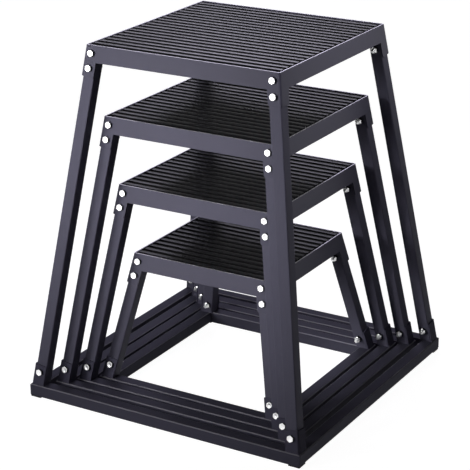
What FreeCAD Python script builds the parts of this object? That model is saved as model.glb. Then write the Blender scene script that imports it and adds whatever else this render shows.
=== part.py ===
import FreeCAD, Part
import math
import os

from FreeCAD import Vector

# A nested set of four steel jumping platforms, in mm. +Z is up, -Y is the front, +X is the right.
# The origin lies on the floor, under the middle of the set.

# Step heights from the floor to the top of the rim
height_12 = 304.8
height_18 = 460.0
height_24 = 609.6
height_30 = 762.0

# Side of the smallest deck over its rim's top edge, and what each larger deck adds all round
deck_12 = 326.0
deck_step_18 = 20.0
deck_step_24 = 18.0
deck_step_30 = 22.0

# How far the smallest base reaches beyond its deck all round
splay_12 = 59.0

# Room that the legs of each larger platform have around the base inside them
nest_room_18 = 2.0
nest_room_24 = 1.2
nest_room_30 = 6.6

# Square tube of the legs and base rails
tube_side = 26.5
tube_wall = 1.6
tube_corner = 2.5
tube_bore_corner = 0.9

# Steel sheet of the rim, the corner brackets and the deck
sheet = 3.0
rim_height = 35.0
rim_rounding = 0.5
deck_corner = 3.0

# Corner brackets, bent to an angle around the legs, with the bend's inner radius
# and the crop of the top brackets' lower corners
bracket_flange = 30.0
bracket_bend = 1.0
bracket_crop = 4.0
top_bracket_drop = 63.0
base_bracket_rise = 47.0
base_bracket_inset = 2.5

# Ribbed rubber mat in the tray of the deck
mat_thickness = 5.0
mat_gap = 4.5
mat_border = 2.0
mat_corner = 3.0
rib_pitch = 21.1
rib_width = 8.5
rib_height = 2.6
rib_draft = 0.5
rib_rounding = 0.7

# Rubber pads under the base corners
foot_thickness = 2.0
foot_corner = 2.5
foot_edge = 0.6

# Hex bolts and lock nuts, all of one size, through the front and back faces of the legs
bolt_diameter = 8.0
bolt_tip = 1.0
bolt_end = 6.0
hex_flats = 13.0
head_height = 5.3
hex_bevel = 0.8
crown_share = 0.95
nut_height = 6.5
collar_height = 2.0
collar_diameter = 11.5
hole_clearance = 0.4
thread_clearance = 0.05
upper_bolt_drop = 16.5
lower_bolt_edge = 16.0
base_bolt_edge = 17.5


def base_around(inner_base, room):
    """Side of a base whose legs stand clear of the base inside it."""
    rail_gap = base_bracket_inset + sheet + room
    return inner_base + 2 * (rail_gap + tube_side)


rail_top = foot_thickness + tube_side
deck_18 = deck_12 + 2 * deck_step_18
deck_24 = deck_18 + 2 * deck_step_24
deck_30 = deck_24 + 2 * deck_step_30
base_12 = deck_12 + 2 * splay_12
base_18 = base_around(base_12, nest_room_18)
base_24 = base_around(base_18, nest_room_24)
base_30 = base_around(base_24, nest_room_30)
CORNERS = {"front_left": (-1, -1), "front_right": (1, -1), "back_left": (-1, 1), "back_right": (1, 1)}
PLATFORMS = {
    "p12": (height_12, deck_12, base_12),
    "p18": (height_18, deck_18, base_18),
    "p24": (height_24, deck_24, base_24),
    "p30": (height_30, deck_30, base_30),
}


def rounded_wire(points, radii):
    """Closed wire through flat points, with each corner rounded to its own radius."""
    starts = []
    mids = []
    ends = []
    for i, point in enumerate(points):
        before = (points[i - 1] - point).normalize()
        after = (points[(i + 1) % len(points)] - point).normalize()
        half_angle = before.getAngle(after) / 2
        trim = radii[i] / math.tan(half_angle)
        to_centre = (before + after).normalize()
        to_arc = radii[i] / math.sin(half_angle) - radii[i]
        starts.append(point + before * trim)
        mids.append(point + to_centre * to_arc)
        ends.append(point + after * trim)
    edges = []
    for i, radius in enumerate(radii):
        if radius > 0:
            edges.append(Part.Arc(starts[i], mids[i], ends[i]).toShape())
        edges.append(Part.makeLine(ends[i], starts[(i + 1) % len(points)]))
    return Part.Wire(edges)


def square_points(side, centre):
    half = side / 2
    return [centre + Vector(x * half, y * half, 0) for x, y in ((-1, -1), (1, -1), (1, 1), (-1, 1))]


def hexahedron(low, high):
    """Solid with flat faces between two rings of four points."""
    rings = [low, high]
    for i in range(len(low)):
        following = (i + 1) % len(low)
        rings.append([low[i], low[following], high[following], high[i]])
    faces = [Part.Face(Part.makePolygon(ring + ring[:1])) for ring in rings]
    solid = Part.makeSolid(Part.makeShell(faces))
    if solid.Volume < 0:
        solid.reverse()
    return solid


def soften(solid, radius, chosen):
    """Rounds the edges whose middle point passes the test."""
    edges = [edge for edge in solid.Edges if chosen(edge)]
    return solid.makeFillet(radius, edges)


def middle(edge):
    return edge.valueAt((edge.FirstParameter + edge.LastParameter) / 2)


class Platform:
    """Planes that every piece of one platform is laid out from."""

    def __init__(self, name, height, deck, base):
        self.name = name
        self.height = height
        self.deck = deck
        self.base = base
        self.slope = (base / 2 - base_bracket_inset - deck / 2) / (height - rail_top)
        self.stretch = math.hypot(1, self.slope)
        self.sheet = sheet * self.stretch
        self.tube = tube_side * self.stretch
        self.flange = bracket_flange * self.stretch
        self.deck_top = height - mat_thickness
        self.deck_bottom = self.deck_top - sheet

    def reach(self, z):
        """Half the width over the leaning outer faces at a height."""
        return self.deck / 2 + self.slope * (self.height - z)

    def at(self, corner, inward_x, inward_y, z):
        """Point at a height, given by its distances inward from a corner's two outer faces."""
        sx, sy = corner
        return Vector(sx * (self.reach(z) - inward_x), sy * (self.reach(z) - inward_y), z)

    def axis(self, corner):
        """Direction down a leg."""
        sx, sy = corner
        return Vector(sx * self.slope, sy * self.slope, -1).normalize()

    def leaning(self, corner, section, radii, low, high):
        """Prism that leans with a leg, from its level section of inward distances."""
        points = [self.at(corner, x, y, high) for x, y in section]
        face = Part.Face(rounded_wire(points, radii))
        return face.extrude(self.at(corner, 0, 0, low) - self.at(corner, 0, 0, high))

    def bolt_places(self, corner):
        """Seats of a corner's bolts on the outer face, with the direction that their heads point."""
        sx, sy = corner
        outward = Vector(0, sy, self.slope).normalize()
        levels = [self.height - upper_bolt_drop]
        levels.append(self.height - top_bracket_drop + lower_bolt_edge)
        levels.append(rail_top + base_bracket_rise - base_bolt_edge)
        inward = self.sheet + self.tube / 2
        return [(self.at(corner, inward, 0, z), outward) for z in levels]


def turned(solid, place, outward):
    """Copy of a fastener made upright at the origin, set on its seat with its head pointing outward."""
    across = Vector(1, 0, 0)
    turn = FreeCAD.Rotation(across, outward.cross(across), outward, "ZXY")
    copy = solid.copy()
    copy.Placement = FreeCAD.Placement(place, turn).multiply(copy.Placement)
    return copy


def drilled(solid, platform, corner):
    """Cuts the corner's bolt holes through a piece."""
    radius = bolt_diameter / 2 + hole_clearance
    depth = 2 * (sheet + tube_side)
    hole = Part.makeCylinder(radius, 2 * depth, Vector(0, 0, -depth))
    for place, outward in platform.bolt_places(corner):
        solid = solid.cut(turned(hole, place, outward))
    return solid


def squared_off(solid, platform, corner, z, lower_part):
    """Keeps the part of a leaning piece on one side of a cut square to its leg, at a height on the edge."""
    along = platform.axis(corner)
    size = 2 * platform.height
    block = Part.makeBox(size, size, size, Vector(-size / 2, -size / 2, 0))
    direction = along if lower_part else along * -1
    block.Placement = FreeCAD.Placement(platform.at(corner, 0, 0, z), FreeCAD.Rotation(Vector(0, 0, 1), direction))
    return solid.common(block)


def angle_section(platform):
    """Level section of a corner bracket, with its corner radii."""
    thick = platform.sheet
    long = platform.flange
    section = [(0, 0), (long, 0), (long, thick), (thick, thick), (thick, long), (0, long)]
    return section, [bracket_bend + sheet, 0, 0, bracket_bend, 0, 0]


def tread_mat(platform):
    half = platform.reach(platform.deck_top) - platform.sheet - mat_gap
    usable = 2 * (half - mat_border) - rib_width
    count = int(usable / rib_pitch) + 1
    floor = platform.deck_top
    groove = floor + mat_thickness - rib_height
    top = floor + mat_thickness
    points = [Vector(-half, -half, floor), Vector(-half, -half, groove)]
    radii = [0, 0]
    for i in range(count):
        centre = rib_pitch * (i - (count - 1) / 2)
        foot = rib_width / 2 + rib_draft
        points += [Vector(-half, centre - foot, groove), Vector(-half, centre - rib_width / 2, top)]
        points += [Vector(-half, centre + rib_width / 2, top), Vector(-half, centre + foot, groove)]
        radii += [rib_rounding] * 4
    points += [Vector(-half, half, groove), Vector(-half, half, floor)]
    radii += [0, 0]
    comb = Part.Face(rounded_wire(points, radii)).extrude(Vector(2 * half, 0, 0))
    outline = rounded_wire(square_points(2 * half, Vector(0, 0, floor)), [mat_corner] * 4)
    return comb.common(Part.Face(outline).extrude(Vector(0, 0, mat_thickness)))


def deck_plate(platform):
    rings = []
    for z in (platform.deck_bottom, platform.deck_top):
        rings.append(square_points(2 * (platform.reach(z) - platform.sheet), Vector(0, 0, z)))
    plate = hexahedron(rings[0], rings[1])
    return soften(plate, deck_corner, lambda edge: platform.deck_bottom < middle(edge).z < platform.deck_top)


def rim_bar(platform, turn):
    """Rim bar of the front, or of the side that a quarter turn or more brings it to."""
    rings = []
    for z in (platform.height - rim_height, platform.height):
        end = platform.reach(z) - platform.flange
        outer = -platform.reach(z)
        inner = outer + platform.sheet
        rings.append([Vector(-end, outer, z), Vector(end, outer, z), Vector(end, inner, z), Vector(-end, inner, z)])
    bar = hexahedron(rings[0], rings[1])
    mid_length = platform.reach(platform.height) - platform.flange
    bar = soften(bar, rim_rounding, lambda edge: middle(edge).z > platform.height - rim_rounding
                 and abs(middle(edge).x) < mid_length / 2)
    bar.rotate(Vector(0, 0, 0), Vector(0, 0, 1), turn)
    return bar


def top_bracket(platform, corner):
    section, radii = angle_section(platform)
    below = platform.height - 2 * top_bracket_drop
    bracket = platform.leaning(corner, section, radii, below, platform.height)
    bracket = squared_off(bracket, platform, corner, platform.height - top_bracket_drop, False)
    free_corners = [edge for edge in bracket.Edges if middle(edge).z < platform.height - rim_height
                    and isinstance(edge.Curve, Part.Line) and edge.Length < 1.5 * platform.sheet]
    bracket = bracket.makeChamfer(bracket_crop, free_corners)
    ends = platform.flange - rim_rounding

    def along_top(edge):
        point = middle(edge)
        inward = [platform.reach(point.z) - abs(value) for value in (point.x, point.y)]
        return point.z > platform.height - rim_rounding and max(inward) < ends

    return drilled(soften(bracket, rim_rounding, along_top), platform, corner)


def base_bracket(platform, corner):
    section, radii = angle_section(platform)
    above = rail_top + 2 * base_bracket_rise
    bracket = platform.leaning(corner, section, radii, rail_top, above)
    bracket = squared_off(bracket, platform, corner, rail_top + base_bracket_rise, True)
    return drilled(bracket, platform, corner)


def leg(platform, corner):
    near = platform.sheet
    far = near + platform.tube
    wall = tube_wall * platform.stretch
    tubes = []
    for low, high, radius in ((near, far, tube_corner), (near + wall, far - wall, tube_bore_corner)):
        section = [(low, low), (high, low), (high, high), (low, high)]
        tubes.append(platform.leaning(corner, section, [radius] * 4, rail_top, platform.deck_bottom))
    return drilled(tubes[0].cut(tubes[1]), platform, corner)


def base_rail(platform, turn):
    """Mitred rail of the front, or of the side that a quarter turn or more brings it to."""
    half = platform.base / 2
    centre_y = -half + tube_side / 2
    centre_z = foot_thickness + tube_side / 2
    tubes = []
    for side, radius in ((tube_side, tube_corner), (tube_side - 2 * tube_wall, tube_bore_corner)):
        flat = square_points(side, Vector(0, 0, 0))
        points = [Vector(-half, centre_y + point.x, centre_z + point.y) for point in flat]
        tubes.append(Part.Face(rounded_wire(points, [radius] * 4)).extrude(Vector(2 * half, 0, 0)))
    plan = [Vector(-half, -half, 0), Vector(half, -half, 0)]
    plan += [Vector(half - tube_side, tube_side - half, 0), Vector(tube_side - half, tube_side - half, 0)]
    mitre = Part.Face(Part.makePolygon(plan + plan[:1])).extrude(Vector(0, 0, rail_top))
    rail = tubes[0].cut(tubes[1]).common(mitre)
    rail.rotate(Vector(0, 0, 0), Vector(0, 0, 1), turn)
    return rail


def foot_pad(platform, corner):
    sx, sy = corner
    offset = platform.base / 2 - tube_side / 2
    outline = rounded_wire(square_points(tube_side, Vector(sx * offset, sy * offset, 0)), [foot_corner] * 4)
    pad = Part.Face(outline).extrude(Vector(0, 0, foot_thickness))
    return soften(pad, foot_edge, lambda edge: middle(edge).z < foot_edge / 2)


def hex_prism(height):
    """Upright hexagon with its points to the front and back, and its upper corners bevelled."""
    corner = hex_flats / math.sqrt(3)
    crown = crown_share * hex_flats / 2
    directions = [FreeCAD.Rotation(Vector(0, 0, 1), 60 * i).multVec(Vector(0, 1, 0)) for i in range(6)]
    ring = [direction * corner for direction in directions]
    prism = Part.Face(Part.makePolygon(ring + ring[:1])).extrude(Vector(0, 0, height))
    root = crown + (corner - crown) * height / hex_bevel
    return prism.common(Part.makeCone(root, crown, height))


def bolt():
    grip = sheet + tube_side + nut_height + collar_height + bolt_end
    shank = Part.makeCylinder(bolt_diameter / 2, grip, Vector(0, 0, -grip))
    shank = shank.makeChamfer(bolt_tip, [edge for edge in shank.Edges if middle(edge).z < bolt_end - grip
                                         and edge.Length > bolt_diameter and edge.isClosed()])
    return shank.fuse(hex_prism(head_height)).removeSplitter()


def lock_nut():
    body = hex_prism(nut_height)
    collar = Part.makeCylinder(collar_diameter / 2, nut_height + collar_height)
    bore = Part.makeCylinder(bolt_diameter / 2 + thread_clearance, nut_height + collar_height)
    nut = body.fuse(collar).cut(bore).removeSplitter()
    nut.rotate(Vector(0, 0, 0), Vector(1, 0, 0), 180)
    nut.translate(Vector(0, 0, -sheet - tube_side))
    return nut


def export(platform, piece, solids):
    shape = solids[0] if len(solids) == 1 else Part.makeCompound(solids)
    shape.exportStep("parts/" + platform.name + "_" + piece + ".step")


os.makedirs("parts", exist_ok=True)
quarter_turn = 90
one_bolt = bolt()
one_nut = lock_nut()
for name, (height, deck, base) in PLATFORMS.items():
    platform = Platform(name, height, deck, base)
    corners = list(CORNERS.values())
    seats = [seat for corner in corners for seat in platform.bolt_places(corner)]
    export(platform, "tread_mat", [tread_mat(platform)])
    export(platform, "deck_plate", [deck_plate(platform)])
    export(platform, "rim_bars", [rim_bar(platform, side * quarter_turn) for side in range(4)])
    export(platform, "top_brackets", [top_bracket(platform, corner) for corner in corners])
    for place, corner in CORNERS.items():
        export(platform, "leg_" + place, [leg(platform, corner)])
    export(platform, "base_rails_front_back", [base_rail(platform, side * quarter_turn) for side in (0, 2)])
    export(platform, "base_rails_sides", [base_rail(platform, side * quarter_turn) for side in (1, 3)])
    export(platform, "base_brackets", [base_bracket(platform, corner) for corner in corners])
    export(platform, "foot_pads", [foot_pad(platform, corner) for corner in corners])
    export(platform, "bolts", [turned(one_bolt, place, outward) for place, outward in seats])
    export(platform, "lock_nuts", [turned(one_nut, place, outward) for place, outward in seats])
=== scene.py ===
import math

import bmesh
import bpy
from mathutils import Matrix, Vector


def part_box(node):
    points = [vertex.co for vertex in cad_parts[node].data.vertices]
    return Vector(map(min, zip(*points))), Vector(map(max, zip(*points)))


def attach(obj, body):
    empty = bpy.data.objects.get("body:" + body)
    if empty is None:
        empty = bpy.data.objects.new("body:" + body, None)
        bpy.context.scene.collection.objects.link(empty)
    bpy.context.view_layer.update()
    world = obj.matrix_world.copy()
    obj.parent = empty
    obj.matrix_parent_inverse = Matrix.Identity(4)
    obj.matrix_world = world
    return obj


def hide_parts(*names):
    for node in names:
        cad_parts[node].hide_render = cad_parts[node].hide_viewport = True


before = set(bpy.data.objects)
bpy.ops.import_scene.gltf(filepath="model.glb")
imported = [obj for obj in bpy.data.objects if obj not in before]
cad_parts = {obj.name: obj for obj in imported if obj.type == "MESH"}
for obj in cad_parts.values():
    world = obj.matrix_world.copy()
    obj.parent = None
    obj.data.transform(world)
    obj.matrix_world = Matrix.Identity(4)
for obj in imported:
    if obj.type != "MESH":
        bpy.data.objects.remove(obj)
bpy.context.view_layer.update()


# Base rails
# Square steel tubes, mitred and welded into a ring under each platform, then powder coated in black.
# The coat is matt, with a fine orange peel and faint drawing lines along the tube. It is painted darker than
# the legs' coat as painted shade, and its upward-facing rounded edges carry a painted highlight.
def shader_group(name, inputs, outputs):
    """Shader node group with named number inputs, given with their values, and named number outputs."""
    group = bpy.data.node_groups.new(name, "ShaderNodeTree")
    for label, value in inputs.items():
        socket = group.interface.new_socket(label, in_out="INPUT", socket_type="NodeSocketFloat")
        socket.default_value = value
    for label in outputs:
        group.interface.new_socket(label, in_out="OUTPUT", socket_type="NodeSocketFloat")
    return group


def add_node(tree, kind, inputs=None, **options):
    """Node with its options set, and each input, by name or number, linked to a socket or set to a value."""
    node = tree.nodes.new(kind)
    for option, value in options.items():
        setattr(node, option, value)
    for label, sources in (inputs or {}).items():
        for source in sources if isinstance(sources, list) else [sources]:
            if isinstance(source, bpy.types.NodeSocket):
                tree.links.new(source, node.inputs[label])
            else:
                node.inputs[label].default_value = source
    return node


def reckon(tree, operation, first, second):
    """Result of a sum on two numbers, each a value or a socket."""
    return add_node(tree, "ShaderNodeMath", {0: first, 1: second}, operation=operation).outputs[0]


def ranged(tree, value, start, end, low=0.0, high=1.0, **options):
    """Number that goes from low to high as a value goes from start to end."""
    limits = {"From Min": start, "From Max": end, "To Min": low, "To Max": high}
    return add_node(tree, "ShaderNodeMapRange", {"Value": value, **limits}, **options).outputs["Result"]


def mixed(tree, share, first, second, kind="FLOAT", blend="MIX"):
    """Mix of two numbers, or of two colours, by the share of the second.

    The node has a set of sockets for each kind, and they differ only by number."""
    first_socket, second_socket, result = {"FLOAT": (2, 3, 0), "RGBA": (6, 7, 2)}[kind]
    node = add_node(tree, "ShaderNodeMix", {"Factor": share, first_socket: first, second_socket: second},
                    data_type=kind, blend_type=blend)
    return node.outputs[result]


surface_grain = shader_group("surface_grain", {"Fine Scale": 700.0, "Cloud Scale": 14.0}, ["Grain", "Cloud"])
grain_input = surface_grain.nodes.new("NodeGroupInput").outputs
grain_place = surface_grain.nodes.new("ShaderNodeTexCoord").outputs["Object"]
fine = add_node(surface_grain, "ShaderNodeTexNoise", {
    "Vector": grain_place, "Scale": grain_input["Fine Scale"], "Detail": 2.0, "Roughness": 0.5})
cloud = add_node(surface_grain, "ShaderNodeTexNoise", {
    "Vector": grain_place, "Scale": grain_input["Cloud Scale"], "Detail": 4.0, "Roughness": 0.55})
add_node(surface_grain, "NodeGroupOutput", {"Grain": fine.outputs["Fac"], "Cloud": cloud.outputs["Fac"]})

drawn_lines = shader_group("drawn_lines", {"X Scale": 1.0, "Y Scale": 1.0, "Z Scale": 1.0}, ["Lines"])
line_input = drawn_lines.nodes.new("NodeGroupInput").outputs
line_place = drawn_lines.nodes.new("ShaderNodeTexCoord").outputs["Object"]
stretch = add_node(drawn_lines, "ShaderNodeCombineXYZ", {axis: line_input[axis + " Scale"] for axis in "XYZ"})
stretched = add_node(drawn_lines, "ShaderNodeVectorMath", {0: line_place, 1: stretch.outputs[0]},
                     operation="MULTIPLY")
streaks = add_node(drawn_lines, "ShaderNodeTexNoise", {"Vector": stretched.outputs[0], "Scale": 1.0,
                                                       "Detail": 3.0})
add_node(drawn_lines, "NodeGroupOutput", {"Lines": streaks.outputs["Fac"]})

drift_range = (0.3, 0.7)
line_share = 0.6
grain_depth = 0.0002
highlight_fade_in = 0.15
highlight_fade_out = 0.02


def surfaced(name, dark, pale, rough, grain, bump, specular, metallic=0.0, lines=None, painted_highlight=None):
    """Material whose colour and roughness drift over the surface, with the grain as its bump.

    The lines are given as scales along X, Y and Z. A painted highlight tone shows on what faces upward, from
    its steepest slope to its flattest, and its metal share is how metallic it makes the surface there."""
    material = bpy.data.materials.new(name)
    material.use_nodes = True
    tree = material.node_tree
    shader = tree.nodes["Principled BSDF"]
    shader.inputs["Metallic"].default_value = metallic
    shader.inputs["Specular IOR Level"].default_value = specular
    fine_scale, cloud_scale = grain
    texture = add_node(tree, "ShaderNodeGroup", node_tree=surface_grain)
    texture.inputs["Fine Scale"].default_value = fine_scale
    texture.inputs["Cloud Scale"].default_value = cloud_scale
    drift = texture.outputs["Cloud"]
    if lines:
        drawn = add_node(tree, "ShaderNodeGroup", node_tree=drawn_lines)
        for axis, scale in zip("XYZ", lines):
            drawn.inputs[axis + " Scale"].default_value = scale
        drift = mixed(tree, line_share, drift, drawn.outputs["Lines"])
    ramp = add_node(tree, "ShaderNodeValToRGB", {"Fac": drift})
    for stop, position, tone in zip(ramp.color_ramp.elements, drift_range, (dark, pale)):
        stop.position = position
        stop.color = (*tone, 1.0)
    colour = ramp.outputs["Color"]
    # Painted highlight: a lighter tone, and a metallic share, on faces that lean upward.
    if painted_highlight:
        normal = tree.nodes.new("ShaderNodeTexCoord").outputs["Normal"]
        facing = add_node(tree, "ShaderNodeSeparateXYZ", {0: normal}).outputs["Z"]
        risen = ranged(tree, facing, painted_highlight["steepest"] - highlight_fade_in, painted_highlight["steepest"])
        leaning = ranged(tree, facing, painted_highlight["flattest"], painted_highlight["flattest"] + highlight_fade_out, 1.0, 0.0)
        highlight_share = reckon(tree, "MULTIPLY", risen, leaning)
        colour = mixed(tree, highlight_share, colour, (*painted_highlight["tone"], 1.0), "RGBA")
        if painted_highlight["metal_share"]:
            highlight_metal = reckon(tree, "MULTIPLY", highlight_share, painted_highlight["metal_share"])
            tree.links.new(highlight_metal, shader.inputs["Metallic"])
    tree.links.new(colour, shader.inputs["Base Color"])
    tree.links.new(ranged(tree, drift, *drift_range, *rough), shader.inputs["Roughness"])
    raised = add_node(tree, "ShaderNodeBump", {"Strength": bump, "Distance": grain_depth,
                                               "Height": texture.outputs["Grain"]})
    tree.links.new(raised.outputs["Normal"], shader.inputs["Normal"])
    return material


def finish_node(node, material):
    """Gives a CAD node the material in all its slots."""
    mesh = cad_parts[node].data
    mesh.materials.clear()
    mesh.materials.append(material)


# The rails' coat is given a darker tone than the legs' coat, as painted shade low under the platforms.
rail_shade_dark = (0.060, 0.057, 0.084)
rail_shade_pale = (0.069, 0.066, 0.097)
rail_rough = (0.68, 0.78)
# Painted highlight on the rails' upward-facing rounded edges.
rail_edge_highlight = {"tone": (0.26, 0.25, 0.29), "steepest": 0.35, "flattest": 0.96, "metal_share": 0.0}
tube_grain = (700.0, 14.0)
tube_bump = 0.25
tube_specular = 0.14
line_across = 260.0
line_along = 6.0
rail_coat_x = surfaced("rail_coat_front_back", rail_shade_dark, rail_shade_pale, rail_rough, tube_grain, tube_bump,
                       tube_specular, lines=(line_along, line_across, line_across), painted_highlight=rail_edge_highlight)
rail_coat_y = surfaced("rail_coat_sides", rail_shade_dark, rail_shade_pale, rail_rough, tube_grain, tube_bump,
                       tube_specular, lines=(line_across, line_along, line_across), painted_highlight=rail_edge_highlight)
platforms = {"p12": "platform_12", "p18": "platform_18", "p24": "platform_24", "p30": "platform_30"}
for platform in platforms:
    finish_node(platform + "_base_rails_front_back", rail_coat_x)
    finish_node(platform + "_base_rails_sides", rail_coat_y)


# Foot pads
# Small square rubber pads stuck under the base corners, so that the steel does not mark the floor.
# Plain matt black rubber.
pad_dark = (0.010, 0.010, 0.011)
pad_pale = (0.016, 0.016, 0.017)
pad_rough = (0.6, 0.75)
pad_grain = (400.0, 30.0)
pad_bump = 0.3
pad_specular = 0.3
pad_rubber = surfaced("foot_pad_rubber", pad_dark, pad_pale, pad_rough, pad_grain, pad_bump, pad_specular)
for platform in platforms:
    finish_node(platform + "_foot_pads", pad_rubber)


# Base brackets
# Angles bent from steel sheet, welded on the base corners, that the feet of the legs are bolted into.
# They have the same black coat, dulled on the flat sheet.
coat_dark = (0.070, 0.066, 0.099)
coat_pale = (0.081, 0.077, 0.114)
bracket_rough = (0.58, 0.68)
bracket_specular = 0.05
sheet_grain = (700.0, 10.0)
sheet_bump = 0.2
sheet_coat = surfaced("sheet_coat", coat_dark, coat_pale, bracket_rough, sheet_grain, sheet_bump,
                      bracket_specular)
for platform in platforms:
    finish_node(platform + "_base_brackets", sheet_coat)


# Legs
# Four sloping square tubes on each platform, bolted between the base brackets and the top brackets.
# They are coated like the rails, with the drawing lines running up them.
leg_dark = (0.082, 0.078, 0.113)
leg_pale = (0.095, 0.091, 0.131)
leg_rough = (0.58, 0.68)
leg_coat = surfaced("leg_coat", leg_dark, leg_pale, leg_rough, tube_grain, tube_bump, tube_specular,
                    lines=(line_across, line_across, line_along))
for platform in platforms:
    for corner_name in ("front_left", "front_right", "back_left", "back_right"):
        finish_node(platform + "_leg_" + corner_name, leg_coat)


# Top brackets, rim bars and deck plates
# The welded tray of each platform: corner angles, flat rim bars flush with them, and a steel sheet inside.
# The welds are ground flat before coating, so that the rim reads as one band, and its lip carries a painted
# highlight.
rim_rough = (0.42, 0.50)
rim_specular = 0.14
# Painted highlight on the rim's lip and other upward faces, with a metallic share.
rim_lip_highlight = {"tone": (0.46, 0.45, 0.49), "steepest": 0.5, "flattest": 1.1, "metal_share": 0.7}
rim_coat = surfaced("rim_coat", coat_dark, coat_pale, rim_rough, sheet_grain, sheet_bump, rim_specular,
                    painted_highlight=rim_lip_highlight)
# The deck plate, seen only in the gap between mat and rim, is given a near-black tone as painted shade.
tray_shade_dark = (0.012, 0.012, 0.014)
tray_shade_pale = (0.018, 0.018, 0.020)
tray_rough = (0.6, 0.7)
tray_specular = 0.05
tray_shade_coat = surfaced("tray_shade_coat", tray_shade_dark, tray_shade_pale, tray_rough, sheet_grain, sheet_bump, tray_specular)
for platform in platforms:
    finish_node(platform + "_top_brackets", rim_coat)
    finish_node(platform + "_rim_bars", rim_coat)
    finish_node(platform + "_deck_plate", tray_shade_coat)


# Bolts
# Zinc-plated hex bolts go through the brackets and legs, with their heads on the front and the back.
# Forged heads have a washer face, a bevelled crown and a shallow dish, and their flanks are painted dark as
# painted shade.
def geometry_tree(name, inputs):
    """Geometry node tree with named inputs, given with their socket kinds, and the inputs' sockets."""
    tree = bpy.data.node_groups.new(name, "GeometryNodeTree")
    tree.interface.new_socket("Geometry", in_out="INPUT", socket_type="NodeSocketGeometry")
    for label, kind in inputs.items():
        tree.interface.new_socket(label, in_out="INPUT", socket_type="NodeSocket" + kind)
    tree.interface.new_socket("Geometry", in_out="OUTPUT", socket_type="NodeSocketGeometry")
    return tree, tree.nodes.new("NodeGroupInput").outputs


def lifted(tree, geometry, height, turn=(0.0, 0.0, 0.0)):
    """Geometry turned about the origin and moved up by a height."""
    offset = add_node(tree, "ShaderNodeCombineXYZ", {"Z": height}).outputs[0]
    return add_node(tree, "GeometryNodeTransform", {"Geometry": geometry, "Translation": offset,
                                                    "Rotation": turn}).outputs[0]


round_sides = 48


def drum(tree, radius, depth, height, sides=round_sides, turn=(0.0, 0.0, 0.0)):
    """Upright cylinder or prism that stands at a height."""
    mesh = add_node(tree, "GeometryNodeMeshCylinder", {"Vertices": sides, "Radius": radius, "Depth": depth})
    middle = reckon(tree, "ADD", height, reckon(tree, "MULTIPLY", depth, 0.5))
    return lifted(tree, mesh.outputs["Mesh"], middle, turn)


def taper(tree, low_radius, high_radius, depth, height):
    """Upright cone that stands at a height."""
    mesh = add_node(tree, "GeometryNodeMeshCone", {"Vertices": round_sides, "Radius Bottom": low_radius,
                                                   "Radius Top": high_radius, "Depth": depth})
    return lifted(tree, mesh.outputs["Mesh"], height)


def combined(tree, operation, meshes, start=None):
    """Exact union or shared part of closed meshes, or what a starting mesh has left without them."""
    inputs = {"Mesh 2": meshes}
    if start is not None:
        inputs["Mesh 1"] = start
    node = add_node(tree, "GeometryNodeMeshBoolean", inputs, operation=operation, solver="EXACT")
    return node.outputs["Mesh"]


def sharp_edged(tree, geometry, sharp_angle):
    """Geometry that is shaded smooth but for the edges that bend by more than an angle."""
    bend = add_node(tree, "GeometryNodeInputMeshEdgeAngle").outputs["Unsigned Angle"]
    sharp = add_node(tree, "FunctionNodeCompare", {0: bend, 1: sharp_angle}, operation="GREATER_THAN")
    smooth = add_node(tree, "GeometryNodeSetShadeSmooth", {0: geometry, "Shade Smooth": True}, domain="FACE")
    edged = add_node(tree, "GeometryNodeSetShadeSmooth", {0: smooth.outputs[0], "Selection": sharp.outputs[0],
                                                          "Shade Smooth": False}, domain="EDGE")
    return edged.outputs[0]


def finish_tree(tree, geometry, material):
    """Ends a tree with real geometry in its material."""
    real = add_node(tree, "GeometryNodeRealizeInstances", {"Geometry": geometry})
    dressed = add_node(tree, "GeometryNodeSetMaterial", {"Geometry": real.outputs[0], "Material": material})
    add_node(tree, "NodeGroupOutput", {"Geometry": dressed.outputs[0]})


fastener_sharp_angle = math.radians(25.0)


def set_on_seats(tree, seats, fastener, material):
    """Puts a fastener on every seat, facing the way that the seat points, and ends the tree."""
    edged = sharp_edged(tree, fastener, fastener_sharp_angle)
    outward = add_node(tree, "GeometryNodeInputNamedAttribute", {"Name": "outward"}, data_type="FLOAT_VECTOR")
    turn = add_node(tree, "FunctionNodeAxesToRotation", {"Primary Axis": outward.outputs["Attribute"],
                                                         "Secondary Axis": (1.0, 0.0, 0.0)},
                    primary_axis="Z", secondary_axis="X")
    placed = add_node(tree, "GeometryNodeInstanceOnPoints", {"Points": seats, "Instance": edged,
                                                             "Rotation": turn.outputs[0]})
    finish_tree(tree, placed.outputs[0], material)


hex_sides = 6
hex_turn = (0.0, 0.0, math.pi / hex_sides)
flank_limit = 0.35
bevelled_hex, hex_input = geometry_tree("bevelled_hex", {"Flats": "Float", "Height": "Float",
                                                         "Crown Share": "Float", "Bevel": "Float"})
corner_radius = reckon(bevelled_hex, "DIVIDE", hex_input["Flats"], math.sqrt(3))
flat_radius = reckon(bevelled_hex, "MULTIPLY", hex_input["Flats"], 0.5)
crown_radius = reckon(bevelled_hex, "MULTIPLY", flat_radius, hex_input["Crown Share"])
bevel_width = reckon(bevelled_hex, "SUBTRACT", corner_radius, crown_radius)
steepness = reckon(bevelled_hex, "DIVIDE", bevel_width, hex_input["Bevel"])
cone_spread = reckon(bevelled_hex, "MULTIPLY", steepness, hex_input["Height"])
root_radius = reckon(bevelled_hex, "ADD", crown_radius, cone_spread)
prism = drum(bevelled_hex, corner_radius, hex_input["Height"], 0.0, hex_sides, hex_turn)
cone = taper(bevelled_hex, root_radius, crown_radius, hex_input["Height"], 0.0)
bevelled = combined(bevelled_hex, "INTERSECT", [prism, cone])
hex_normal = add_node(bevelled_hex, "GeometryNodeInputNormal").outputs[0]
hex_facing = add_node(bevelled_hex, "ShaderNodeSeparateXYZ", {0: hex_normal}).outputs["Z"]
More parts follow.
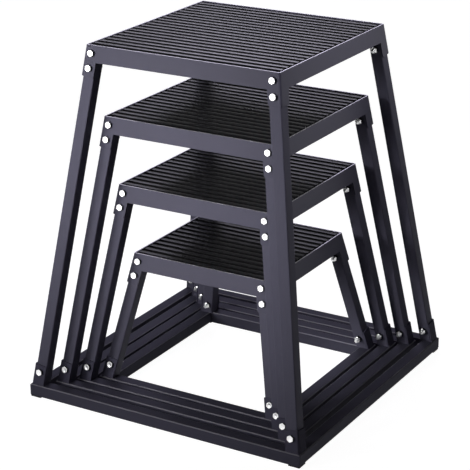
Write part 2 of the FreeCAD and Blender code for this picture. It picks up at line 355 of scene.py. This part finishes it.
levelness = add_node(bevelled_hex, "ShaderNodeMath", {0: hex_facing}, operation="ABSOLUTE").outputs[0]
on_flank = reckon(bevelled_hex, "LESS_THAN", levelness, flank_limit)
marked = add_node(bevelled_hex, "GeometryNodeStoreNamedAttribute",
                  {"Geometry": bevelled, "Name": "flank", "Value": on_flank},
                  data_type="FLOAT", domain="FACE")
add_node(bevelled_hex, "NodeGroupOutput", {"Geometry": marked.outputs[0]})


def hex_of(tree, sizes, height):
    """Bevelled hexagon of a height, with its other sizes from the inputs of the fastener's tree."""
    node = add_node(tree, "GeometryNodeGroup", {"Height": height}, node_tree=bevelled_hex)
    for label in ("Flats", "Crown Share", "Bevel"):
        tree.links.new(sizes[label], node.inputs[label])
    return node.outputs["Geometry"]


dish_floor_share = 0.8
dish_overrun = 1.05
washer_share = 0.475
thread_steps = 32
thread_sides = 6
hex_bolts, bolt_input = geometry_tree("hex_bolts", {
    "Flats": "Float", "Head Height": "Float", "Crown Share": "Float", "Bevel": "Float",
    "Washer Face": "Float", "Dish Radius": "Float", "Dish Depth": "Float", "Core Radius": "Float",
    "Grip": "Float", "Tip": "Float", "Thread Turns": "Float", "Thread Pitch": "Float",
    "Thread Ridge": "Float", "Plating": "Material"})
hex_height = reckon(hex_bolts, "SUBTRACT", bolt_input["Head Height"], bolt_input["Washer Face"])
head = lifted(hex_bolts, hex_of(hex_bolts, bolt_input, hex_height), bolt_input["Washer Face"])
dish_floor = reckon(hex_bolts, "SUBTRACT", bolt_input["Head Height"], bolt_input["Dish Depth"])
dish_floor_radius = reckon(hex_bolts, "MULTIPLY", bolt_input["Dish Radius"], dish_floor_share)
dish_depth = reckon(hex_bolts, "MULTIPLY", bolt_input["Dish Depth"], dish_overrun)
dish = taper(hex_bolts, dish_floor_radius, bolt_input["Dish Radius"], dish_depth, dish_floor)
forged = combined(hex_bolts, "DIFFERENCE", [dish], head)
washer_radius = reckon(hex_bolts, "MULTIPLY", bolt_input["Flats"], washer_share)
washer = drum(hex_bolts, washer_radius, bolt_input["Washer Face"], 0.0)
shank_length = reckon(hex_bolts, "SUBTRACT", bolt_input["Grip"], bolt_input["Tip"])
shank_end = reckon(hex_bolts, "MULTIPLY", shank_length, -1.0)
shank = drum(hex_bolts, bolt_input["Core Radius"], shank_length, shank_end)
tip_radius = reckon(hex_bolts, "SUBTRACT", bolt_input["Core Radius"], bolt_input["Tip"])
tip_end = reckon(hex_bolts, "MULTIPLY", bolt_input["Grip"], -1.0)
tip = taper(hex_bolts, tip_radius, bolt_input["Core Radius"], bolt_input["Tip"], tip_end)
thread_length = reckon(hex_bolts, "MULTIPLY", bolt_input["Thread Turns"], bolt_input["Thread Pitch"])
helix = add_node(hex_bolts, "GeometryNodeCurveSpiral", {
    "Resolution": thread_steps, "Rotations": bolt_input["Thread Turns"], "Height": thread_length,
    "Start Radius": bolt_input["Core Radius"], "End Radius": bolt_input["Core Radius"]})
ridge = add_node(hex_bolts, "GeometryNodeCurvePrimitiveCircle", {"Resolution": thread_sides,
                                                                 "Radius": bolt_input["Thread Ridge"]})
thread = add_node(hex_bolts, "GeometryNodeCurveToMesh", {
    "Curve": helix.outputs[0], "Profile Curve": ridge.outputs[0], "Fill Caps": True})
thread_start = reckon(hex_bolts, "SUBTRACT", bolt_input["Tip"], bolt_input["Grip"])
threaded = lifted(hex_bolts, thread.outputs[0], thread_start)
bolt = add_node(hex_bolts, "GeometryNodeJoinGeometry", {"Geometry": [forged, washer, shank, tip, threaded]})
set_on_seats(hex_bolts, bolt_input["Geometry"], bolt.outputs[0], bolt_input["Plating"])

sheet = 0.003
tube_side = 0.0265
bracket_inset = 0.0025
upper_bolt_drop = 0.0165
lower_bolt_drop = 0.047
base_bolt_rise = 0.0295


def bolt_seats(platform):
    """Mesh of a platform's bolt seats on its leaning faces, with the direction that each head points."""
    rim_low, rim_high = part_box(platform + "_rim_bars")
    rail_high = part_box(platform + "_base_rails_front_back")[1]
    slope = (rail_high.y - bracket_inset - rim_high.y) / (rim_low.z - rail_high.z)
    inward = (sheet + tube_side / 2) * math.hypot(1, slope)
    places, directions = [], []
    for z in (rim_high.z - upper_bolt_drop, rim_high.z - lower_bolt_drop, rail_high.z + base_bolt_rise):
        reach = rim_high.y + slope * (rim_low.z - z)
        for right in (-1, 1):
            for back in (-1, 1):
                places.append((right * (reach - inward), back * reach, z))
                directions.append(Vector((0, back, slope)).normalized())
    seats = bpy.data.meshes.new(platform + "_bolt_seats")
    seats.from_pydata(places, [], [])
    outward = seats.attributes.new("outward", "FLOAT_VECTOR", "POINT")
    for seat, direction in zip(outward.data, directions):
        seat.vector = direction
    return seats


scene = bpy.context.scene


def plain_piece(name, points, tree, values):
    """Object with the plain mesh that a geometry tree makes, after its inputs are set by identifier."""
    piece = bpy.data.objects.new(name, points)
    scene.collection.objects.link(piece)
    modifier = piece.modifiers.new(tree.name, "NODES")
    modifier.node_group = tree
    for socket in tree.interface.items_tree:
        if socket.in_out == "INPUT" and socket.name in values:
            modifier[socket.identifier] = values[socket.name]
    graph = bpy.context.evaluated_depsgraph_get()
    mesh = bpy.data.meshes.new_from_object(piece.evaluated_get(graph), preserve_all_data_layers=True,
                                           depsgraph=graph)
    piece.modifiers.remove(modifier)
    piece.data = mesh
    mesh.name = name
    return piece


def source_of(shader, label):
    """Socket that feeds an input of a shader."""
    return shader.inputs[label].links[0].from_socket


zinc_dark = (0.78, 0.78, 0.79)
zinc_pale = (0.92, 0.92, 0.92)
zinc_rough = (0.24, 0.36)
zinc_grain = (500.0, 60.0)
zinc_bump = 0.1
zinc_specular = 0.5
# Painted shade: the flanks of heads and nuts get a near-black tone.
flank_shade_tone = (0.03, 0.03, 0.035, 1.0)
zinc = surfaced("zinc_plate", zinc_dark, zinc_pale, zinc_rough, zinc_grain, zinc_bump, zinc_specular,
                metallic=1.0)
zinc_tree = zinc.node_tree
zinc_shader = zinc_tree.nodes["Principled BSDF"]
flank = add_node(zinc_tree, "ShaderNodeAttribute", attribute_name="flank").outputs["Fac"]
plated_with_shaded_flanks = mixed(zinc_tree, flank, source_of(zinc_shader, "Base Color"), flank_shade_tone, "RGBA")
zinc_tree.links.new(plated_with_shaded_flanks, zinc_shader.inputs["Base Color"])
hex_sizes = {"Flats": 0.013, "Crown Share": 0.95, "Bevel": 0.0008, "Plating": zinc}
bolt_sizes = {"Head Height": 0.0053, "Washer Face": 0.0004, "Dish Radius": 0.0038, "Dish Depth": 0.0003,
              "Core Radius": 0.0034, "Grip": 0.044, "Tip": 0.001, "Thread Turns": 6.0,
              "Thread Pitch": 0.00125, "Thread Ridge": 0.00055}
for platform, body in platforms.items():
    bolts = plain_piece(platform + "_hex_bolts", bolt_seats(platform), hex_bolts, {**hex_sizes, **bolt_sizes})
    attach(bolts, body)
    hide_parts(platform + "_bolts")


# Lock nuts
# A zinc-plated nut holds each bolt on the inner side of its leg, with a round collar that grips the thread.
# The collar is crimped inward at its end, and the thread of the bolt stands out of it.
overlap = 0.001
lock_nuts, nut_input = geometry_tree("lock_nuts", {
    "Flats": "Float", "Height": "Float", "Crown Share": "Float", "Bevel": "Float", "Collar Radius": "Float",
    "Collar Height": "Float", "Crimp": "Float", "Bore Radius": "Float", "Mouth Radius": "Float",
    "Mouth Depth": "Float", "Seat Depth": "Float", "Plating": "Material"})
nut_hex = hex_of(lock_nuts, nut_input, nut_input["Height"])
collar_straight = reckon(lock_nuts, "SUBTRACT", nut_input["Collar Height"], nut_input["Crimp"])
shoulder = reckon(lock_nuts, "ADD", nut_input["Height"], collar_straight)
full_height = reckon(lock_nuts, "ADD", nut_input["Height"], nut_input["Collar Height"])
collar = drum(lock_nuts, nut_input["Collar Radius"], shoulder, 0.0)
crimp_radius = reckon(lock_nuts, "SUBTRACT", nut_input["Collar Radius"], nut_input["Crimp"])
crimp = taper(lock_nuts, nut_input["Collar Radius"], crimp_radius, nut_input["Crimp"], shoulder)
collared = combined(lock_nuts, "UNION", [nut_hex, collar, crimp])
bore = drum(lock_nuts, nut_input["Bore Radius"], reckon(lock_nuts, "ADD", full_height, 2 * overlap), -overlap)
mouth_depth = reckon(lock_nuts, "ADD", nut_input["Mouth Depth"], overlap)
mouth_floor = reckon(lock_nuts, "SUBTRACT", full_height, nut_input["Mouth Depth"])
mouth = drum(lock_nuts, nut_input["Mouth Radius"], mouth_depth, mouth_floor)
bored = combined(lock_nuts, "DIFFERENCE", [bore, mouth], collared)
nut_seat = reckon(lock_nuts, "MULTIPLY", nut_input["Seat Depth"], -1.0)
seated = lifted(lock_nuts, bored, nut_seat, (math.pi, 0.0, 0.0))
set_on_seats(lock_nuts, nut_input["Geometry"], seated, nut_input["Plating"])

nut_sizes = {"Height": 0.0065, "Collar Radius": 0.00575, "Collar Height": 0.002, "Crimp": 0.0006,
             "Bore Radius": 0.00405, "Mouth Radius": 0.0046, "Mouth Depth": 0.0008,
             "Seat Depth": sheet + tube_side}
for platform, body in platforms.items():
    nuts = plain_piece(platform + "_collar_nuts", bolt_seats(platform), lock_nuts, {**hex_sizes, **nut_sizes})
    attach(nuts, body)
    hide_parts(platform + "_lock_nuts")


# Tread mats
# A moulded black rubber mat with straight ribs lies loose in the tray of each platform.
# The ribs have rounded edges, and feet have polished their tops, which also carry a painted highlight, while
# the grooves stay dull and dark.
def swept(tree, profile, length):
    """Closed prism of a curve, swept along X from the middle."""
    half = reckon(tree, "MULTIPLY", length, 0.5)
    start = add_node(tree, "ShaderNodeCombineXYZ", {"X": reckon(tree, "MULTIPLY", half, -1.0)}).outputs[0]
    end = add_node(tree, "ShaderNodeCombineXYZ", {"X": half}).outputs[0]
    path = add_node(tree, "GeometryNodeCurvePrimitiveLine", {"Start": start, "End": end})
    return add_node(tree, "GeometryNodeCurveToMesh", {"Curve": path.outputs[0], "Profile Curve": profile,
                                                      "Fill Caps": True}).outputs[0]


def softened(tree, curve, radius, steps):
    """Curve with its corners rounded."""
    return add_node(tree, "GeometryNodeFilletCurve", {"Curve": curve, "Radius": radius, "Count": steps},
                    mode="POLY").outputs[0]


corner_steps = 6
rib_steps = 5
foot_drafts = 3.0
mat_sharp_angle = math.radians(30.0)
ribbed_mat, mat_input = geometry_tree("ribbed_mat", {
    "Side": "Float", "Thickness": "Float", "Corner": "Float", "Rib Count": "Int", "Rib Pitch": "Float",
    "Rib Width": "Float", "Rib Height": "Float", "Rib Draft": "Float", "Rib Rounding": "Float",
    "Level": "Float", "Rubber": "Material"})
slab_height = reckon(ribbed_mat, "SUBTRACT", mat_input["Thickness"], mat_input["Rib Height"])
half_slab = reckon(ribbed_mat, "MULTIPLY", slab_height, 0.5)
outline = add_node(ribbed_mat, "GeometryNodeCurvePrimitiveQuadrilateral", {
    "Width": mat_input["Side"], "Height": mat_input["Side"]})
slab_outline = softened(ribbed_mat, outline.outputs[0], mat_input["Corner"], corner_steps)
upright_slab = swept(ribbed_mat, slab_outline, slab_height)
slab = lifted(ribbed_mat, upright_slab, half_slab, (0.0, math.pi / 2, 0.0))
rib_depth = reckon(ribbed_mat, "ADD", mat_input["Rib Height"], half_slab)
foot_spread = reckon(ribbed_mat, "MULTIPLY", mat_input["Rib Draft"], foot_drafts)
foot_width = reckon(ribbed_mat, "ADD", mat_input["Rib Width"], foot_spread)
section = add_node(ribbed_mat, "GeometryNodeCurvePrimitiveQuadrilateral", {
    "Height": rib_depth, "Bottom Width": foot_width, "Top Width": mat_input["Rib Width"], "Offset": 0.0},
    mode="TRAPEZOID")
rib_outline = softened(ribbed_mat, section.outputs[0], mat_input["Rib Rounding"], rib_steps)
rib = swept(ribbed_mat, rib_outline, mat_input["Side"])
half_rib = reckon(ribbed_mat, "MULTIPLY", rib_depth, 0.5)
rib_middle = reckon(ribbed_mat, "SUBTRACT", mat_input["Thickness"], half_rib)
rib_gaps = reckon(ribbed_mat, "SUBTRACT", mat_input["Rib Count"], 1.0)
half_row = reckon(ribbed_mat, "MULTIPLY", rib_gaps, -0.5)
first_rib = reckon(ribbed_mat, "MULTIPLY", mat_input["Rib Pitch"], half_row)
row_start = add_node(ribbed_mat, "ShaderNodeCombineXYZ", {"Y": first_rib, "Z": rib_middle}).outputs[0]
row_step = add_node(ribbed_mat, "ShaderNodeCombineXYZ", {"Y": mat_input["Rib Pitch"]}).outputs[0]
row = add_node(ribbed_mat, "GeometryNodeMeshLine", {
    "Count": mat_input["Rib Count"], "Start Location": row_start, "Offset": row_step}, mode="OFFSET")
ribs = add_node(ribbed_mat, "GeometryNodeInstanceOnPoints", {"Points": row.outputs[0], "Instance": rib})
loose = add_node(ribbed_mat, "GeometryNodeRealizeInstances", {"Geometry": ribs.outputs[0]})
moulded = combined(ribbed_mat, "UNION", [slab, loose.outputs[0]])
mat_place = add_node(ribbed_mat, "GeometryNodeInputPosition").outputs[0]
mat_height = add_node(ribbed_mat, "ShaderNodeSeparateXYZ", {0: mat_place}).outputs["Z"]
rib_rise = reckon(ribbed_mat, "DIVIDE", mat_height, mat_input["Thickness"])
measured = add_node(ribbed_mat, "GeometryNodeStoreNamedAttribute",
                    {"Geometry": moulded, "Name": "rib_rise", "Value": rib_rise},
                    data_type="FLOAT", domain="POINT")
laid = lifted(ribbed_mat, measured.outputs[0], mat_input["Level"])
finish_tree(ribbed_mat, sharp_edged(ribbed_mat, laid, mat_sharp_angle), mat_input["Rubber"])

mat_dark = (0.0040, 0.0040, 0.0048)
mat_pale = (0.0062, 0.0060, 0.0072)
rib_rough = (0.27, 0.35)
groove_rough = 1.0
mat_grain = (300.0, 12.0)
mat_bump = 0.12
mat_specular = 0.16
# Painted highlight: the rib tops get a lighter tone added, and the same share makes them less rough.
rib_top_polish_and_highlight_range = (0.85, 0.98)
rib_top_highlight_tone = (0.012, 0.012, 0.014, 1.0)
mat_rubber = surfaced("tread_mat_rubber", mat_dark, mat_pale, rib_rough, mat_grain, mat_bump, mat_specular)
mat_tree = mat_rubber.node_tree
mat_shader = mat_tree.nodes["Principled BSDF"]
rise_share = add_node(mat_tree, "ShaderNodeAttribute", attribute_name="rib_rise").outputs["Fac"]
rib_top_polish_and_highlight = ranged(mat_tree, rise_share, *rib_top_polish_and_highlight_range)
rib_top_highlighted = mixed(mat_tree, rib_top_polish_and_highlight, source_of(mat_shader, "Base Color"), rib_top_highlight_tone, "RGBA", "ADD")
polished = mixed(mat_tree, rib_top_polish_and_highlight, groove_rough, source_of(mat_shader, "Roughness"))
mat_tree.links.new(rib_top_highlighted, mat_shader.inputs["Base Color"])
mat_tree.links.new(polished, mat_shader.inputs["Roughness"])
rib_pitch = 0.0211
rib_width = 0.0085
mat_border = 0.002
mat_sizes = {"Corner": 0.003, "Rib Pitch": rib_pitch, "Rib Width": rib_width, "Rib Height": 0.0026,
             "Rib Draft": 0.0005, "Rib Rounding": 0.0007, "Rubber": mat_rubber}
for platform, body in platforms.items():
    low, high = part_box(platform + "_tread_mat")
    side = high.x - low.x
    count = int((side - 2 * mat_border - rib_width) / rib_pitch) + 1
    own_sizes = {"Side": side, "Thickness": high.z - low.z, "Level": low.z, "Rib Count": count}
    mat = plain_piece(platform + "_ribbed_mat", bpy.data.meshes.new(platform + "_mat_start"), ribbed_mat,
                      {**mat_sizes, **own_sizes})
    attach(mat, body)
    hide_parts(platform + "_tread_mat")


# Stage, light and camera
# A white floor runs out to a white sweep under a dim ceiling. A broad lamp and a small one light the front,
# one lights the right side, and one behind puts the shine on the ribs. The camera has the photo's view.
def visible_rays(tree):
    """Mask of the rays that show the background: from the camera, and through gloss and glass."""
    path = tree.nodes.new("ShaderNodeLightPath").outputs
    seen = reckon(tree, "MAXIMUM", path["Is Camera Ray"], path["Is Glossy Ray"])
    return reckon(tree, "MAXIMUM", seen, path["Is Transmission Ray"])


white = (1.0, 1.0, 1.0, 1.0)
ambient_strength = 0.035
sweep_bottom = 0.02
sweep_top = 0.25
ceiling_strength = 0.08
world = bpy.data.worlds.new("studio")
scene.world = world
world.use_nodes = True
world_tree = world.node_tree
ambient = world_tree.nodes["Background"]
ambient.inputs["Color"].default_value = white
ambient.inputs["Strength"].default_value = ambient_strength
direction = world_tree.nodes.new("ShaderNodeTexCoord").outputs["Generated"]
sky_height = add_node(world_tree, "ShaderNodeSeparateXYZ", {0: direction}).outputs["Z"]
sweep = ranged(world_tree, sky_height, sweep_bottom, sweep_top, 1.0, ceiling_strength,
               interpolation_type="SMOOTHSTEP")
backdrop = add_node(world_tree, "ShaderNodeBackground", {"Color": white, "Strength": sweep})
choice = add_node(world_tree, "ShaderNodeMixShader", {0: visible_rays(world_tree), 1: ambient.outputs[0],
                                                      2: backdrop.outputs[0]})
world_tree.links.new(choice.outputs[0], world_tree.nodes["World Output"].inputs["Surface"])

floor_radius = 12.0
floor_sides = 96
floor_grey = (0.25, 0.25, 0.25, 1.0)
floor_rough = 0.9
shade_start = 0.4
shade_end = 1.2
near_glow = 0.97
floor_mesh = bpy.data.meshes.new("floor")
form = bmesh.new()
bmesh.ops.create_circle(form, cap_ends=True, segments=floor_sides, radius=floor_radius)
form.to_mesh(floor_mesh)
form.free()
floor = bpy.data.objects.new("floor", floor_mesh)
scene.collection.objects.link(floor)
floor_paint = bpy.data.materials.new("floor_paint")
floor_paint.use_nodes = True
floor_tree = floor_paint.node_tree
paint = floor_tree.nodes["Principled BSDF"]
paint.inputs["Base Color"].default_value = floor_grey
paint.inputs["Roughness"].default_value = floor_rough
paint.inputs["Specular IOR Level"].default_value = 0.0
paint.inputs["Emission Color"].default_value = white
floor_place = floor_tree.nodes.new("ShaderNodeTexCoord").outputs["Object"]
away = add_node(floor_tree, "ShaderNodeVectorMath", {0: floor_place}, operation="LENGTH").outputs["Value"]
brightness = ranged(floor_tree, away, shade_start, shade_end, near_glow, 1.0)
glow = reckon(floor_tree, "MULTIPLY", visible_rays(floor_tree), brightness)
floor_tree.links.new(glow, paint.inputs["Emission Strength"])
floor_mesh.materials.append(floor_paint)


def soft_lamp(name, azimuth, elevation, distance, aim_height, size, spread, power, colour=(1.0, 1.0, 1.0)):
    """Round area lamp aimed at the middle of the set, at degrees to the right of the front and upward."""
    across, up = math.radians(azimuth), math.radians(elevation)
    towards = Vector((math.sin(across) * math.cos(up), -math.cos(across) * math.cos(up), math.sin(up)))
    data = bpy.data.lights.new(name, "AREA")
    data.shape = "DISK"
    data.size = size
    data.spread = math.radians(spread)
    data.energy = power
    data.color = colour
    lamp = bpy.data.objects.new(name, data)
    lamp.location = Vector((0.0, 0.0, aim_height)) + towards * distance
    lamp.rotation_euler = (-towards).to_track_quat("-Z", "Y").to_euler()
    lamp.visible_camera = False
    scene.collection.objects.link(lamp)


soft_lamp("key", azimuth=-34.0, elevation=12.0, distance=2.4, aim_height=0.49, size=1.2, spread=30.0,
          power=2.15)
soft_lamp("front", azimuth=-16.0, elevation=24.0, distance=2.4, aim_height=0.44, size=0.6, spread=26.0,
          power=0.88)
soft_lamp("side", azimuth=100.0, elevation=40.0, distance=1.3, aim_height=0.75, size=0.5, spread=45.0,
          power=0.75)
soft_lamp("back", azimuth=210.8, elevation=34.0, distance=2.6, aim_height=0.76, size=1.4, spread=90.0,
          power=7.3, colour=(0.84, 0.80, 1.0))

yaw = math.radians(30.848)
pitch = math.radians(20.624)
roll = math.radians(-0.409)
camera_target = Vector((0.0, -0.0188, 0.3276))
camera_distance = 3.66
camera_data = bpy.data.cameras.new("camera")
camera_data.sensor_width = 36.0
camera_data.lens = 131.74
camera = bpy.data.objects.new("camera", camera_data)
ahead = Vector((-math.sin(yaw) * math.cos(pitch), math.cos(yaw) * math.cos(pitch), -math.sin(pitch)))
sideways = Vector((math.cos(yaw), math.sin(yaw), 0.0))
above = sideways.cross(ahead)
picture_right = sideways * math.cos(roll) + above * math.sin(roll)
picture_up = above * math.cos(roll) - sideways * math.sin(roll)
camera_turn = Matrix((picture_right, picture_up, -ahead)).transposed().to_4x4()
camera.matrix_world = Matrix.Translation(camera_target - ahead * camera_distance) @ camera_turn
scene.collection.objects.link(camera)
scene.camera = camera
scene.view_settings.view_transform = "Standard"
